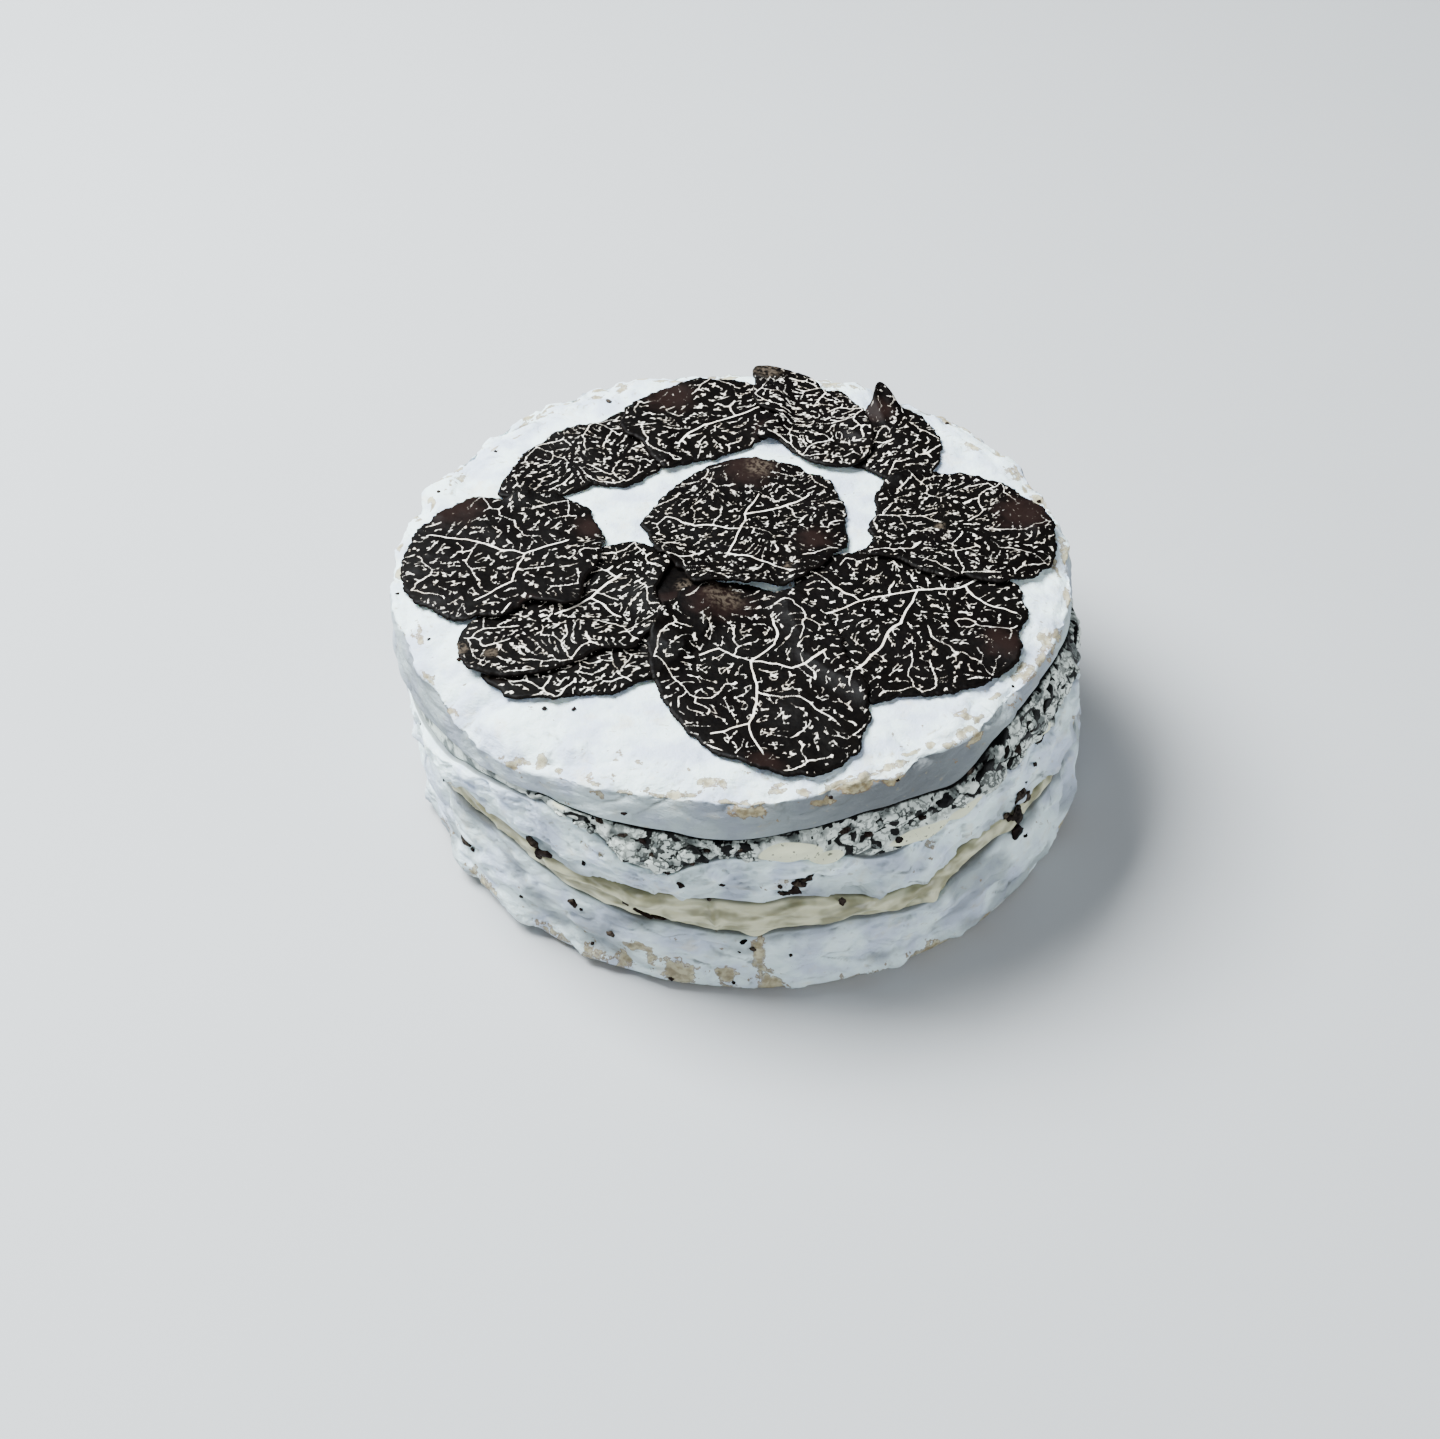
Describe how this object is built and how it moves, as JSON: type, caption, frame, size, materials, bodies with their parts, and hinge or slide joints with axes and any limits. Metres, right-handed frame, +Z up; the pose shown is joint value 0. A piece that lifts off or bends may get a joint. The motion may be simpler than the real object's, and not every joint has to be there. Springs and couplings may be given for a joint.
{
  "type": "truffled soft cheese",
  "caption": "Round white-rind soft cheese, cut level and filled with cream and chopped truffle, with thin veined truffle slices overlapping on its top.",
  "frame": {"origin": "middle of the bounding box at the surface that the cheese rests on", "axes": "+Z up, +X to the right and -Y to the front as first seen"},
  "size_m": [0.1323, 0.131, 0.0538],
  "materials": {
    "rind": "soft white mould rind, matte, with tan worn patches",
    "cream": "pale cream, moist",
    "truffle_cream": "grey-white cream with chopped black truffle",
    "truffle": "black-brown truffle flesh with fine white veins"
  },
  "bodies": {
    "root": {"bottom_cheese": "rind", "lower_filling": "cream", "middle_cheese": "rind", "upper_filling": "truffle_cream", "top_cheese": "rind", "slice_under": "truffle", "slice_right_front": "truffle", "slice_front_left_low": "truffle", "slice_back_left": "truffle", "slice_back": "truffle", "slice_back_right": "truffle", "slice_back_tip": "truffle", "slice_right": "truffle", "slice_front_left": "truffle", "slice_left": "truffle", "slice_front": "truffle", "slice_centre": "truffle"}
  },
  "joints": []
}
